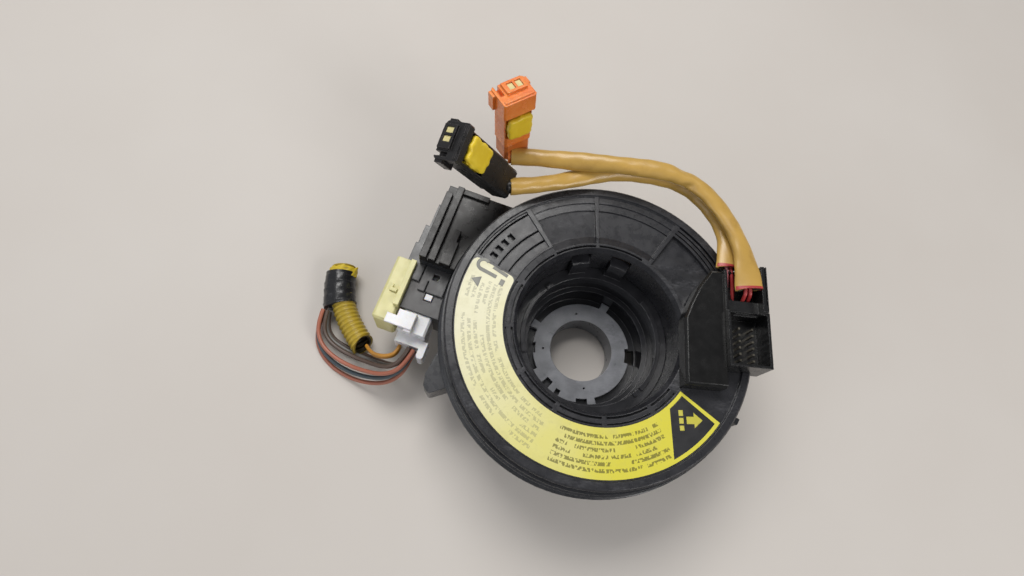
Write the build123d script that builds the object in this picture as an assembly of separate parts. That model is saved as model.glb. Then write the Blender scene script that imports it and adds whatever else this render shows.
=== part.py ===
from build123d import *
import math
import os

# Steering clock spring: a rotor turns in a stator while a wound ribbon joins
# their circuits. +Z is the steering axis towards the driver, +X is the way the
# top mark points, and the origin is the lower end of the shaft tube.
# All sizes are millimetres and all angles are degrees.

# ---------------------------------------------------------------- rotor face
rim_level = 44.0            # top of the rotor's outer rim
rim_radius = 53.0
rim_width = 3.2
rim_round = 0.6
seat_drop = 0.6             # label seat below the rim
face_thickness = 3.2        # label seat down to the disc's underside
labyrinth_width = 1.4
labyrinth_drop = 1.6
bore_radius = 28.4          # the wheel side of the bore
lip_width = 4.6             # from the bore to the label seat
lip_drop = 2.4
drum_wall = 1.8
drum_foot = 24.3            # lower end of the drum that the ribbon winds on
groove_width = 0.7
groove_depth = 1.1
rib_width = 1.0
rib_angles = (119.0, 88.7, 52.0)
pocket_depth = 1.7
window_angles = (99.0, 69.0)
window_span = 15.0
window_top = 40.0
window_foot = 28.6

# ---------------------------------------------------------------- label
label_start = 149.5
label_end = 320.5
label_margin = 0.4
label_thickness = 0.15
label_corner = 2.0
panel_edge_x = 21.6         # the dark end panel starts here
panel_border = 1.2

# ---------------------------------------------------------------- hub and cam
hub_clearance = 0.1
ledge_level = 28.0
sleeve_wall = 2.7
ledge_width = 1.6
ledge_step = 0.8
throat_level = 18.0
throat_step = 2.0
throat_wall = 1.6
cam_level = 11.0            # top of the cancel ring
cam_thickness = 2.2
cam_margin = 3.1            # between the cancel ring and the throat's wall
cam_gap = 0.2
shaft_radius = 12.1
shaft_wall = 2.2
cam_seat_gap = 1.7
hook_thickness = 2.1
cam_seat_thickness = 2.6
retainer_width = 2.7
retainer_thickness = 2.0

# ---------------------------------------------------------------- stator
case_overhang = 0.8         # the case stands out this far past the rotor's rim
case_wall = 2.4
case_top_gap = 0.6          # running gap under the rotor face
bead_reach = 1.3
bead_level = 29.8
bead_height = 2.2
lug_foot = 19.0
base_level = 24.0           # top of the base plate
base_thickness = 2.0
base_inset = 0.4            # the base plate ends inside the case's outer face
running_gap = 0.3
collar_outer = 34.5
collar_wall = 2.4
stand_drop = 0.5            # the collar stands this far below the shaft tube
base_rib_count = 12
base_rib_height = 2.0
base_rib_width = 1.2
slot_width = 14.0           # windows in the collar
slot_height = 8.0
slot_foot = 5.0

# ------------------------------------------------- connector block on the left
block_turn = 71.0           # direction of the block's long side
block_start = 4.5
block_end = 35.5
block_depth = 14.0          # from the case's outer face to the block's long side
block_root = 30.0           # the block is trimmed back to the case from here
block_top = 34.0
block_floor = 14.0
shelf_top = 25.0
shelf_depth = 5.6
cover_thickness = 2.0
cover_rib = 2.0
socket_top = 30.0
socket_length = 17.5
socket_step = 9.5           # the raised latch panel ends here
socket_ledge = 1.0
cavity_inset = 1.8
cavity_width = 9.0
cavity_rise = 2.5
cavity_height = 10.5
plug_gap = 0.2
plug_shell = 11.0           # length of the main plug outside its socket
pocket_inset = 1.2
pocket_width = 3.4

# ---------------------------------------------------------------- ribbon
ribbon_turns = 5
ribbon_thickness = 0.25
ribbon_height = 13.0
ribbon_steps = 30

# ---------------------------------------------------------------- wheel side
box_turn = -4.5             # the connector box sits askew by this much
box_overhang = 2.6          # the connector box stands out past the rim
box_width = 14.4
box_front = -10.8
box_back = 23.4
box_top = 52.0
box_wall = 0.9
socket_back = 8.4
socket_floor = 43.6
wire_drop = 6.0
post_width = 2.0
pin_pitch = 2.2
pin_width = 0.7
pin_height = 4.0
cover_overlap = 1.1         # the raised cover reaches in past the bore's edge
cover_top = 49.5
cover_front = -17.8
cover_back = 23.0

# ---------------------------------------------------------------- harness
conduit_width = 9.2
tape_width = 14.0
tape_height = 11.0
tape_shift = 1.7
tape_gap = 0.25
wire_width = 1.6
thin_wire_width = 1.4

# ---------------------------------------------------------------- leads and plugs
lead_width = 5.6
orange_length = 28.0
orange_width = 10.7
orange_height = 8.0
orange_head_length = 6.6
orange_lock_start = 7.4     # from the mating end to the lock plate
orange_lock_length = 9.4
black_length = 33.0
black_width = 11.4
black_height = 8.1
black_head_length = 2.6
black_lock_start = 2.9
black_lock_length = 12.0
head_rim = 0.8              # the mating head stands out round the body
boot_length = 7.0
boot_reach = 4.2
collar_margin = 0.4
lock_width = 9.8
lock_plate = 2.2
lock_leg = 1.2
lock_gap = 0.15
lock_travel = 1.9

face_level = rim_level - seat_drop
disc_foot = face_level - face_thickness
case_top = disc_foot - case_top_gap
case_outer = rim_radius + case_overhang
case_inner = case_outer - case_wall
bead_radius = case_outer + bead_reach
base_radius = case_outer - base_inset
block_reach = case_outer + block_depth
cavity_near = block_reach - cavity_inset - cavity_width
cavity_far = block_reach - cavity_inset
cavity_foot = block_floor + cavity_rise
cavity_top = cavity_foot + cavity_height
pocket_near = block_reach + pocket_inset
pocket_far = pocket_near + pocket_width
seat_outer = rim_radius - rim_width
box_right = rim_radius + box_overhang
box_left = box_right - box_width
cover_left = bore_radius - cover_overlap
seat_inner = bore_radius + lip_width
drum_radius = bore_radius + drum_wall
hub_radius = bore_radius - hub_clearance
ledge_radius = hub_radius - sleeve_wall - ledge_width
throat_radius = ledge_radius - throat_step
cam_radius = throat_radius - cam_margin
cam_seat_radius = shaft_radius + shaft_wall + cam_seat_gap
wire_floor = box_top - wire_drop
retainer_radius = hub_radius + retainer_width
hub_hole = hub_radius + running_gap
base_foot = base_level - base_thickness


def polar(radius, angle):
    """Point in the XY plane at a radius and an azimuth."""
    turn = math.radians(angle)
    return (radius * math.cos(turn), radius * math.sin(turn))


def band(inner, outer, start, end, foot, top):
    """Solid between two radii, two azimuths and two levels."""
    middle = (start + end) / 2
    edges = [
        ThreePointArc(polar(outer, start), polar(outer, middle), polar(outer, end)),
        Line(polar(outer, end), polar(inner, end)),
        ThreePointArc(polar(inner, end), polar(inner, middle), polar(inner, start)),
        Line(polar(inner, start), polar(outer, start)),
    ]
    return Pos(0, 0, foot) * extrude(make_face(edges), top - foot)


def turned(points):
    """Solid of revolution about Z from a closed outline of (radius, level)."""
    outline = make_face(Polyline(points, close=True))
    return revolve(Plane.XZ * outline, Axis.Z)


def ring(inner, outer, foot, top):
    """Plain ring about Z."""
    return turned([(inner, foot), (outer, foot), (outer, top), (inner, top)])


def slab(x0, x1, y0, y1, z0, z1):
    """Rectangular block between two corners."""
    block = Box(x1 - x0, y1 - y0, z1 - z0, align=(Align.MIN, Align.MIN, Align.MIN))
    return Pos(x0, y0, z0) * block


def drum_cylinder(radius):
    """Tall cylinder about the steering axis, for trimming."""
    return Pos(0, 0, -5) * Cylinder(radius, 80, align=(Align.CENTER, Align.CENTER, Align.MIN))


# In the block's own frame x runs along its long side and y points away
# from the steering axis.
block_frame = Rot(0, 0, block_turn)
box_frame = Rot(0, 0, box_turn)


def make_rotor_cover():
    """Raised cover over the ribbon's inner end, beside the connector box."""
    outline = Polyline(
        (cover_left, cover_front), (cover_left, 5.0), (cover_left + 2.2, 10.5),
        (cover_left + 5.2, 16.7), (box_left - 4.2, cover_back), (box_left, cover_back),
        (box_left, cover_front), close=True)
    solid = Pos(0, 0, face_level - 0.4) * extrude(make_face(outline), cover_top - face_level + 0.4)
    top_edges = solid.faces().sort_by(Axis.Z)[-1].edges().filter_by(
        lambda edge: edge.center().X < box_left - 0.5)
    solid = chamfer(top_edges, 0.8)
    return box_frame * solid


def make_wheel_socket():
    """Connector box of the wheel harness: deep socket, wire shelf and guide post."""
    body = slab(box_left, box_right, box_front, socket_back, disc_foot, box_top)
    body += slab(box_left, box_right, socket_back, box_back, disc_foot, wire_floor)
    body += slab(box_left, box_left + box_wall, socket_back, box_back, wire_floor, box_top - 1.5)
    body += slab(box_left, box_right, box_back - box_wall, box_back, wire_floor, wire_floor + 3.2)
    post_right = box_right - 0.5
    body += slab(post_right - post_width, post_right, socket_back, box_back + 1.4,
                 disc_foot, box_top + 0.8)
    body -= slab(post_right - 0.7, post_right - 0.3, socket_back + 2.5, box_back + 2.0,
                 wire_floor, box_top + 1.0)
    body += slab(box_left, box_right, socket_back, socket_back + 4.2, wire_floor, box_top - 2.6)
    cavity = slab(box_left + box_wall, box_right - box_wall, box_front + box_wall,
                  socket_back - box_wall, socket_floor, box_top + 1)
    body -= cavity
    body -= slab(box_left + 3, box_right - 3, socket_back - box_wall - 1, socket_back + 0.1,
                 box_top - 3.4, box_top + 1)
    solid = box_frame * body
    solid -= ring(20, rim_radius + 0.15, disc_foot - 1, face_level - 0.4)
    return solid


def make_socket_pins():
    """Two rows of pins that stand in the socket."""
    pins = []
    first = box_front + box_wall + 2.0
    count = int((socket_back - box_front - 2 * box_wall - 3.0) / pin_pitch)
    for row in (0.36, 0.68):
        across = box_left + row * (box_right - box_left)
        for index in range(count):
            along = first + index * pin_pitch
            pin = slab(across, across + pin_width, along, along + pin_width,
                       socket_floor, socket_floor + pin_height)
            pins.append(box_frame * pin)
    return Compound(pins)


def make_rotor_face(attached):
    """Upper moulding: rim, label seat, ribbed pockets, lip, and the ribbon drum."""
    top = rim_level
    solid = turned([
        (bore_radius, drum_foot), (bore_radius, face_level - lip_drop),
        (bore_radius + 1.2, face_level - 0.5), (seat_inner, face_level - 0.3),
        (seat_inner, face_level), (seat_outer, face_level),
        (seat_outer + 0.3, top), (rim_radius - rim_round, top),
        (rim_radius, top - rim_round), (rim_radius, disc_foot),
        (case_inner - 0.4, disc_foot), (case_inner - 0.6, disc_foot - labyrinth_drop),
        (case_inner - 0.6 - labyrinth_width, disc_foot - labyrinth_drop),
        (case_inner - 0.8 - labyrinth_width, disc_foot),
        (drum_radius, disc_foot), (drum_radius, drum_foot)])
    floor = face_level - pocket_depth
    cuts = []
    # first pocket: arc ridges and four small slots beside the label
    first_start = rib_angles[0] + 1.4
    first_end = label_start - 0.8
    cuts.append(band(seat_inner + 0.6, seat_outer - 0.6, first_start, first_end,
                     face_level - 0.5, face_level + 1))
    for radius in (seat_outer - 1.7, seat_inner + 7.8, seat_inner + 3.6):
        cuts.append(band(radius - groove_width / 2, radius + groove_width / 2, first_start,
                         first_end, floor, face_level))
    for angle in (145.2, 141.2, 137.2, 133.2):
        cuts.append(band(seat_outer - 6.8, seat_outer - 4.2, angle - 1.1, angle + 1.1,
                         floor - 0.4, face_level))
    # second and third pockets: an outer step and a dished floor
    for start, end in ((rib_angles[1] + 0.9, rib_angles[0] - 0.9),
                       (rib_angles[2] + 1.0, rib_angles[1] - 0.9)):
        near = bore_radius + 3.0
        step = seat_outer - 5.4
        ledge = seat_outer - 2.6
        edge = seat_outer - 0.2
        dish = turned([(near, face_level + 1), (near, face_level - 0.9),
                       (near + 3.1, floor - 0.3), (step, floor + 0.5), (step, face_level - 0.7),
                       (ledge, face_level - 0.7), (ledge, face_level - 0.3),
                       (edge, face_level - 0.3), (edge, face_level + 1)])
        cuts.append(dish & band(bore_radius - 3, rim_radius + 7, start, end, disc_foot, rim_level + 5))
    # fourth pocket, next to the raised cover, with fine outer arcs
    fourth_end = rib_angles[2] - 1.2
    cuts.append(band(bore_radius + 2.5, seat_outer - 4.2, 16.0, fourth_end, floor, face_level + 1))
    for radius in (seat_outer - 3.0, seat_outer - 1.4, seat_outer):
        cuts.append(band(radius - 0.25, radius + 0.25, 16.0, fourth_end,
                         face_level - 0.9, face_level + 1))
    # arc grooves round the bore, bridged by short ribs
    inner_groove = bore_radius + 1.5
    for index in range(6):
        start = label_start + 30 * index + 1.5
        end = min(start + 27, label_end - 3.0)
        cuts.append(band(inner_groove, inner_groove + groove_width, start, end,
                         face_level - 0.6 - groove_depth, face_level))
        cuts.append(band(seat_inner - 0.9, seat_inner - 0.4, start, end,
                         face_level - groove_depth, face_level))
    for start, end in ((rib_angles[0] + 1, label_start - 2), (rib_angles[1] + 1.2, rib_angles[0] - 1),
                       (rib_angles[2] + 5, rib_angles[1] - 1.2)):
        cuts.append(band(inner_groove, inner_groove + groove_width, start, end,
                         face_level - 0.6 - groove_depth, face_level))
    for angle in window_angles:
        cuts.append(band(bore_radius - 1, drum_radius + 1, angle - window_span / 2,
                         angle + window_span / 2, window_foot, window_top))
    for cut in cuts:
        solid -= cut
    for piece in attached:
        solid -= piece
    # nothing of the rim is left standing inside the connector box
    solid -= box_frame * slab(box_left, box_right, box_front, socket_back,
                              face_level - 0.4, box_top)
    return solid


def label_outline(inner, outer, start, end):
    """Crescent sheet on the label seat."""
    return band(inner, outer, start, end, face_level, face_level + label_thickness)


def make_labels():
    """Yellow crescent and the dark panel at its end, as two thin sheets."""
    inner = seat_inner + label_margin
    outer = seat_outer - label_margin
    whole = label_outline(inner, outer, label_start + 0.6, label_end)
    start_corners = whole.edges().filter_by(Axis.Z).filter_by(lambda edge: edge.center().Y > 0)
    whole = fillet(start_corners, label_corner)
    panel_zone = label_outline(inner + panel_border, outer - panel_border,
                               label_start + 90, label_end - 1.6)
    panel = panel_zone & slab(panel_edge_x, 60, -60, 0, 0, 60)
    return whole - panel, panel


def make_hub():
    """Lower sleeve with ledge, throat, retaining flange, cam seat and snap hooks."""
    solid = turned([
        (ledge_radius, ledge_level), (ledge_radius + ledge_width, ledge_level),
        (ledge_radius + ledge_width, ledge_level - ledge_step),
        (hub_radius, ledge_level - ledge_step), (hub_radius, base_foot - running_gap),
        (retainer_radius, base_foot - running_gap),
        (retainer_radius, base_foot - running_gap - retainer_thickness),
        (ledge_radius + throat_wall, base_foot - running_gap - retainer_thickness),
        (ledge_radius + throat_wall, throat_level - throat_wall),
        (throat_radius + throat_wall, throat_level - throat_wall),
        (throat_radius + throat_wall, cam_level - cam_thickness - cam_seat_thickness),
        (cam_seat_radius, cam_level - cam_thickness - cam_seat_thickness),
        (cam_seat_radius, cam_level - cam_thickness),
        (throat_radius, cam_level - cam_thickness), (throat_radius, throat_level),
        (ledge_radius, throat_level)])
    lip_top = ledge_level + 1
    lip_foot = ledge_level - ledge_step
    for start, end in ((36, 123), (129, 136), (192, 306), (309, 314)):
        solid -= band(ledge_radius - 1, ledge_radius + ledge_width + 0.01, start, end,
                      lip_foot, lip_top)
    solid -= band(cam_seat_radius + 1.4, throat_radius - 0.4, -14, 2, 0, cam_level)
    hook_gap = 0.6
    for angle in window_angles:
        half = window_span / 2 - hook_gap
        arm = band(hub_radius - hook_thickness, hub_radius, angle - half, angle + half,
                   lip_foot, window_top - 3.4)
        barb = band(hub_radius, drum_radius - 0.3, angle - half, angle + half,
                    window_foot + 0.2, window_top - 3.4)
        solid += arm + barb
    return solid


def make_cancel_cam():
    """Turn-signal cancel ring on its shaft tube, seated on the hub's inner flange."""
    plate_foot = cam_level - cam_thickness
    solid = turned([
        (shaft_radius, 0), (shaft_radius + shaft_wall, 0),
        (shaft_radius + shaft_wall, plate_foot), (cam_radius, plate_foot),
        (cam_radius, cam_level), (shaft_radius, cam_level)])
    for angle in (-81, 60, 150):
        solid += band(cam_radius - 1, throat_radius - cam_gap, angle - 4.5, angle + 4.5,
                      plate_foot, cam_level)
    solid += band(cam_radius - 1, throat_radius - 1.6, 203, 262, plate_foot, cam_level)
    for start, end, inner in ((-15, 3, cam_radius - 1.5), (171, 184, cam_radius - 0.9),
                              (219, 228, cam_radius - 1.9), (236, 242, cam_radius - 0.9)):
        solid -= band(inner, cam_radius + 3, start, end, plate_foot - 1, cam_level + 1)
    for angle in (178, 95, -88):
        solid -= Pos(*polar(shaft_radius + 2.8, angle), 0) * Cylinder(0.4, 60)
    return solid


def make_flat_cable():
    """Ribbon wound between the rotor's drum and the case, on edge."""
    start_radius = drum_radius + 0.6
    pitch = (case_inner - 0.6 - start_radius) / ribbon_turns
    outer = []
    inner = []
    for step in range(ribbon_turns * ribbon_steps + 1):
        angle = 360 * step / ribbon_steps
        radius = start_radius + pitch * step / ribbon_steps
        outer.append(polar(radius + ribbon_thickness / 2, angle))
        inner.append(polar(radius - ribbon_thickness / 2, angle))
    outline = Polyline(*outer, *reversed(inner), close=True)
    foot = base_level + 0.6
    return Pos(0, 0, foot) * extrude(make_face(outline), ribbon_height)


def make_stator_case():
    """Outer wall with beads, mounting lug, and the housing of the connector block."""
    wall = turned([
        (case_inner, base_level), (case_inner, case_top), (case_outer, case_top),
        (case_outer, case_top - 3.2), (case_outer + 0.6, case_top - 3.6),
        (case_outer + 0.6, case_top - 4.4), (case_outer, case_top - 4.8),
        (case_outer, bead_level + bead_height / 2), (bead_radius, bead_level + bead_height / 4),
        (bead_radius, bead_level - bead_height / 2),
        (case_outer + 0.2, bead_level - bead_height), (case_outer + 0.2, base_level)])
    root = -case_outer + 3.8
    lug_outline = Polyline(
        (root, -4.0), (root - 4.6, -6.0), (root - 8.7, -14.0), (root - 9.3, -18.2),
        (root - 7.6, -21.0), (root, -18.6), close=True)
    lug = Pos(0, 0, lug_foot) * extrude(make_face(lug_outline), bead_level - lug_foot)
    lug = fillet(lug.edges().filter_by(Axis.Z).sort_by(Axis.X)[:3], 1.2)
    housing = slab(block_start, block_end, block_root, block_reach, block_floor, block_top)
    shelf_edge = block_reach + shelf_depth
    for start, end, back in ((0.0, 9.5, 0.0), (9.5, 17.5, 0.8), (17.5, 27.5, 2.4)):
        housing += slab(block_start + start, block_start + end, block_root + 10,
                        shelf_edge - back, block_floor, shelf_top)
    outside = block_frame * housing + lug - drum_cylinder(base_radius + 0.3)
    solid = wall + outside
    pocket = block_frame * slab(block_start - 1, block_start + 5.5, pocket_near, pocket_far,
                                block_floor + 1.8, shelf_top - 1.3)
    solid -= pocket
    tab = band(case_outer - 0.5, bead_radius + 1.2, -33.6, -31.4, bead_level, case_top - 2.4)
    return solid + tab


def make_block_cover():
    """Lid of the connector block, with two long ribs, a channel and a stepped rib."""
    top = block_top + cover_thickness
    crest = top + cover_rib
    edge = block_reach
    plate = slab(block_start, block_end, block_root, edge, block_top, top)
    plate += slab(block_start, block_end - 3.6, edge - 2.5, edge, top, crest)
    plate += slab(block_start, block_end, edge - 5.8, edge - 3.4, top, crest)
    plate += slab(block_end - 2.1, block_end, edge - 15.8, edge - 5.8, top, top + cover_rib * 0.6)
    plate += slab(block_start, block_start + 14.1, edge - 10.6, edge - 8.4, top, crest)
    plate += slab(block_start, block_start + 9.5, edge - 11.4, edge - 10.6, top, crest)
    plate += slab(block_start, block_start + 4.5, edge - 8.4, edge - 7.4, top, crest)
    return block_frame * plate - drum_cylinder(case_outer + 0.9)


def make_lower_socket():
    """Socket of the main harness plug, with a raised latch panel on its roof."""
    front = block_start - socket_length
    step = block_start - socket_step
    side = block_reach + 0.7
    ledge = socket_top - socket_ledge
    body = slab(front, block_start, block_root + 15, side, block_floor, ledge)
    panel_near = cavity_near - 1.4
    body += slab(step, block_start, panel_near, cavity_far - 1.0, ledge, socket_top)
    body += slab(step + 3.0, block_start, cavity_far - 0.4, side, ledge, socket_top)
    body -= slab(front - 1, block_start - 1.3, cavity_near, cavity_far, cavity_foot, cavity_top)
    middle = cavity_near + 3.1
    body -= slab(block_start - 4.4, block_start - 2.0, middle - 1.2, middle + 1.2,
                 cavity_top - 1, socket_top + 1)
    body -= slab(step - 0.1, step + 4.2, middle + 1.8, middle + 2.4, ledge - 0.4, socket_top + 1)
    body -= slab(step - 3.0, step, middle - 1.7, middle + 1.7, cavity_top - 1, socket_top + 1)
    solid = block_frame * body
    return solid - drum_cylinder(bead_radius + 0.3)


def make_main_plug():
    """Harness plug latched into the lower socket, and its retainer."""
    gap = plug_gap
    front = block_start - socket_length
    step = block_start - socket_step
    near = cavity_near
    top = cavity_top
    body = slab(front, block_start - 1.3 - gap, near + gap, cavity_far - gap,
                cavity_foot + gap, top - gap)
    shell = slab(front - plug_shell, front, near - 0.8, cavity_far + 0.6, cavity_foot - 1.5, top - 3.0)
    shell += slab(front - 7.5, front, near - 0.8, cavity_far + 0.6, cavity_foot - 1.5, top + 1.2)
    shell = chamfer(shell.edges().filter_by(Axis.X), 0.7)
    body += shell
    lever = slab(front - 8.2, front - 1.0, near + 4.2, near + 6.8, top + 0.6, top + 3.6)
    lever += slab(front - 7.4, front - 4.0, near + 4.2, cavity_far + 5.2, top + 3.3, top + 4.5)
    lever += slab(front - 4.0, front - 1.4, near + 4.2, cavity_far + 1.6, top + 3.3, top + 4.5)
    body += lever
    leg = slab(front - plug_shell - 3.4, front - plug_shell + 3.0, near - 2.4, near + 0.2,
               cavity_foot - 1.0, cavity_foot + 7.5)
    body += fillet(leg.edges().filter_by(Axis.Z).sort_by(Axis.X)[:2], 1.0)
    middle = near + 3.1
    retainer = slab(step - 2.6, step - 0.4, middle - 1.3, middle + 1.3, top - gap, top + 2.4)
    return block_frame * body, block_frame * retainer


def make_airbag_plug():
    """Pale plug latched beside the lower socket, its nose in the block's pocket."""
    gap = plug_gap
    tail = block_start - 24.5
    near = block_reach + 1.0
    far = near + 7.6
    top = block_floor + 16.0
    body = slab(tail, block_start, near, far, block_floor + 1.0, top)
    body = chamfer(body.edges().filter_by(Axis.X), 0.9)
    body = chamfer(body.faces().sort_by(Axis.X)[0].edges(), 0.8)
    rib_start = tail + 6.4
    body += slab(rib_start, block_start, near, near + 1.9, top - 1.0, top + 1.8)
    latch = tail + 11.0
    body += slab(latch, latch + 1.3, near + 2.6, near + 5.2, top - 0.5, top + 0.8)
    body += slab(latch, latch + 2.6, near + 4.4, near + 5.2, top - 0.5, top + 0.8)
    body += slab(block_start, block_start + 4.8, pocket_near + gap, pocket_far - gap,
                 block_floor + 1.8 + gap, shelf_top - 1.3 - gap)
    return block_frame * body


def make_base():
    """Base plate with ribs and the collar that the unit stands on."""
    collar_inner = collar_outer - collar_wall
    solid = turned([
        (hub_hole, base_foot), (collar_inner, base_foot), (collar_inner, -stand_drop),
        (collar_outer, -stand_drop), (collar_outer, base_foot), (base_radius, base_foot),
        (base_radius, base_level), (hub_hole, base_level)])
    for index in range(base_rib_count):
        rib = slab(collar_outer - 0.5, base_radius - 2.5, -base_rib_width / 2,
                   base_rib_width / 2, base_foot - base_rib_height, base_foot)
        solid += Rot(0, 0, 15 + 360 * index / base_rib_count) * rib
    for angle in (30, 150, 270):
        solid -= Rot(0, 0, angle) * slab(collar_inner - 2, collar_outer + 1, -slot_width / 2,
                                         slot_width / 2, slot_foot, slot_foot + slot_height)
    return solid


def squib_frame(tail, heading, lift, roll):
    """Frame on a plug's axis: x towards the mating end, z out of its lock face."""
    return Pos(*tail) * Rot(0, 0, heading) * Rot(0, -lift, 0) * Rot(roll, 0, 0)


def make_squib(frame, lead_points, length, width, height, head_length, lock_from, lock_length):
    """Squib connector: body, terminal insert, lead boot and a lock plate that slides."""
    half = width / 2
    deck = height / 2
    crown = deck + head_rim
    flank = half + head_rim
    neck = length - head_length
    body = slab(boot_length, neck, -half, half, -deck, deck)
    body = chamfer(body.edges().filter_by(Axis.X), 0.7)
    head = slab(neck, length, -flank, flank, -crown, crown)
    head = chamfer(head.edges().filter_by(Axis.X), 0.6)
    body += head
    # stepped mating face: a terminal tower, a ridge strip and a keying notch
    body += slab(length - 0.5, length + 1.0, -flank + 1.4, flank - 3.4, -crown + 0.6, 0.9)
    body += slab(length - 0.5, length + 0.5, -flank + 0.8, flank - 0.8, crown - 1.7, crown - 0.7)
    body -= slab(length - 2.2, length + 1.5, flank - 2.6, flank - 1.0, -crown - 1, 0.2)
    slots = []
    for side in (-flank + 2.2, -flank + 5.2):
        body -= slab(length - 4, length + 2, side, side + 2.2, -crown + 1.6, -0.1)
        slots.append(slab(length - 4, length + 0.6, side + 0.1, side + 2.1, -crown + 1.7, -0.2))
    insert = Compound([frame * slot for slot in slots])
    # side ears with a small catch each
    ear_start = length - 6.4
    for side in (-1, 1):
        ear_near = min(side * (half - 0.5), side * (flank + 1.0))
        ear_far = max(side * (half - 0.5), side * (flank + 1.0))
        body += slab(ear_start, length - 0.6, ear_near, ear_far, -crown + 0.4, -crown + 3.4)
    lock_end = length - lock_from
    lock_start = lock_end - lock_length
    pocket_foot = deck - 2.4
    slack = lock_gap
    body -= slab(lock_start - slack, lock_end + slack, -lock_width / 2 - slack,
                 lock_width / 2 + slack, pocket_foot, crown + 4)
    lock_foot = pocket_foot + lock_travel
    lock = slab(lock_start, lock_end, -lock_width / 2, lock_width / 2, lock_foot,
                lock_foot + lock_plate)
    lock = fillet(lock.edges().filter_by(Axis.Z), 1.2)
    leg_foot = -deck + 1.2
    for side in (-1, 1):
        middle = side * (lock_width / 2 - lock_leg / 2)
        near = middle - lock_leg / 2
        far = middle + lock_leg / 2
        body -= slab(lock_start + 2.3 - slack, lock_end - 2.3 + slack, near - slack,
                     far + slack, leg_foot, pocket_foot + 1)
        lock += slab(lock_start + 2.3, lock_end - 2.3, near, far,
                     leg_foot + 0.2 + lock_travel, lock_foot + 0.5)
    boot = slab(0.0, boot_length, -half + 0.3, half - 0.3, -deck + 0.2, deck - 0.2)
    boot = chamfer(boot.edges().filter_by(Axis.X), 0.9)
    boot = frame * boot
    end = Vector(*lead_points[-1])
    heading = (end - Vector(*lead_points[-2])).normalized()
    collar_plane = Plane(origin=end + heading * 0.1, z_dir=heading)
    collar = collar_plane * Cylinder(lead_width / 2 - collar_margin, boot_reach,
                                     align=(Align.CENTER, Align.CENTER, Align.MIN))
    body = frame * body
    return body, boot + collar - body, frame * lock, insert


def arc_radii(points):
    """Radius of each corner: as large as its two runs allow."""
    corners = [Vector(*point) for point in points]
    radii = []
    for before, here, after in zip(corners, corners[1:], corners[2:]):
        shorter = min((here - before).length, (after - here).length)
        turn = math.radians((here - before).get_angle(after - here))
        radii.append(0.45 * shorter / math.tan(turn / 2))
    return radii


def make_cord(name, points, width):
    """Round tube along straight runs joined by tangent arcs."""
    radii = arc_radii(points)
    path = FilletPolyline(*points, radius=radii)
    start = Vector(*points[0])
    heading = Vector(*points[1]) - start
    section = Plane(origin=start, z_dir=heading) * Circle(width / 2)
    solid = sweep(section, path=path)
    ratio = solid.volume / (math.pi * width ** 2 / 4 * path.length)
    print(name, "length", round(path.length, 1), "volume ratio", round(ratio, 3),
          "radii", [round(radius, 1) for radius in radii])
    return solid


def bundle_points(route, side, rise, fan_side, fan_rise):
    """A route moved square to its own direction, with another shift at its middle."""
    corners = [Vector(*point) for point in route]
    moved = []
    last = len(corners) - 1
    for index, here in enumerate(corners):
        ahead = Vector(0, 0, 0)
        if index > 0:
            ahead += (here - corners[index - 1]).normalized()
        if index < last:
            ahead += (corners[index + 1] - here).normalized()
        ahead = ahead.normalized()
        across = Vector(0, 0, 1).cross(ahead).normalized()
        over = ahead.cross(across)
        fan = math.sin(math.pi * max(index - 1, 0) / (last - 1 + 0.001)) ** 1.6
        sideways = side + (fan_side - side) * fan
        upwards = rise + (fan_rise - rise) * fan
        moved.append(tuple(here + across * sideways + over * upwards))
    return moved


def make_tape(points):
    """Tape wound round the conduit and the wires that run beside it."""
    start = Vector(*points[0])
    heading = Vector(*points[1]) - start
    sideways = heading.cross(Vector(0, 0, 1))
    section = Plane(origin=start, x_dir=sideways, z_dir=heading)
    path = FilletPolyline(*points, radius=arc_radii(points))
    outline = section * (Pos(tape_shift, 0) * Ellipse(tape_width / 2, tape_height / 2))
    hole = section * Circle(conduit_width / 2 + tape_gap)
    return sweep(outline - hole, path=path)


upper_lead_points = [
    (50.0, 11.8, 52.0), (50.8, 19.6, 52.3), (51.0, 28.4, 52.4), (47.9, 38.6, 53.0),
    (42.2, 46.8, 53.6), (34.2, 53.2, 54.0), (25.0, 57.0, 54.2), (15.4, 59.0, 53.8),
    (5.6, 60.2, 53.0),
    (-4.2, 61.2, 51.7), (-13.6, 61.8, 50.4), (-22.0, 61.8, 49.4), (-28.0, 61.6, 48.95)]
lower_lead_points = [
    (44.6, 20.4, 49.3), (45.4, 28.2, 48.8), (43.6, 37.2, 47.7), (40.0, 45.6, 46.9),
    (34.4, 52.2, 46.7), (26.4, 56.2, 46.7), (16.8, 57.8, 46.8), (6.6, 57.4, 47.1),
    (-2.8, 55.4, 47.4), (-11.8, 53.0, 47.8), (-20.4, 51.0, 48.2), (-28.2, 49.8, 48.5)]
orange_tail = (-30.5, 66.6, 46.4)
orange_turns = (120.0, 81.4, 0.0)
black_tail = (-33.4, 51.5, 47.0)
black_turns = (184.5, 55.5, -29.3)

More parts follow.
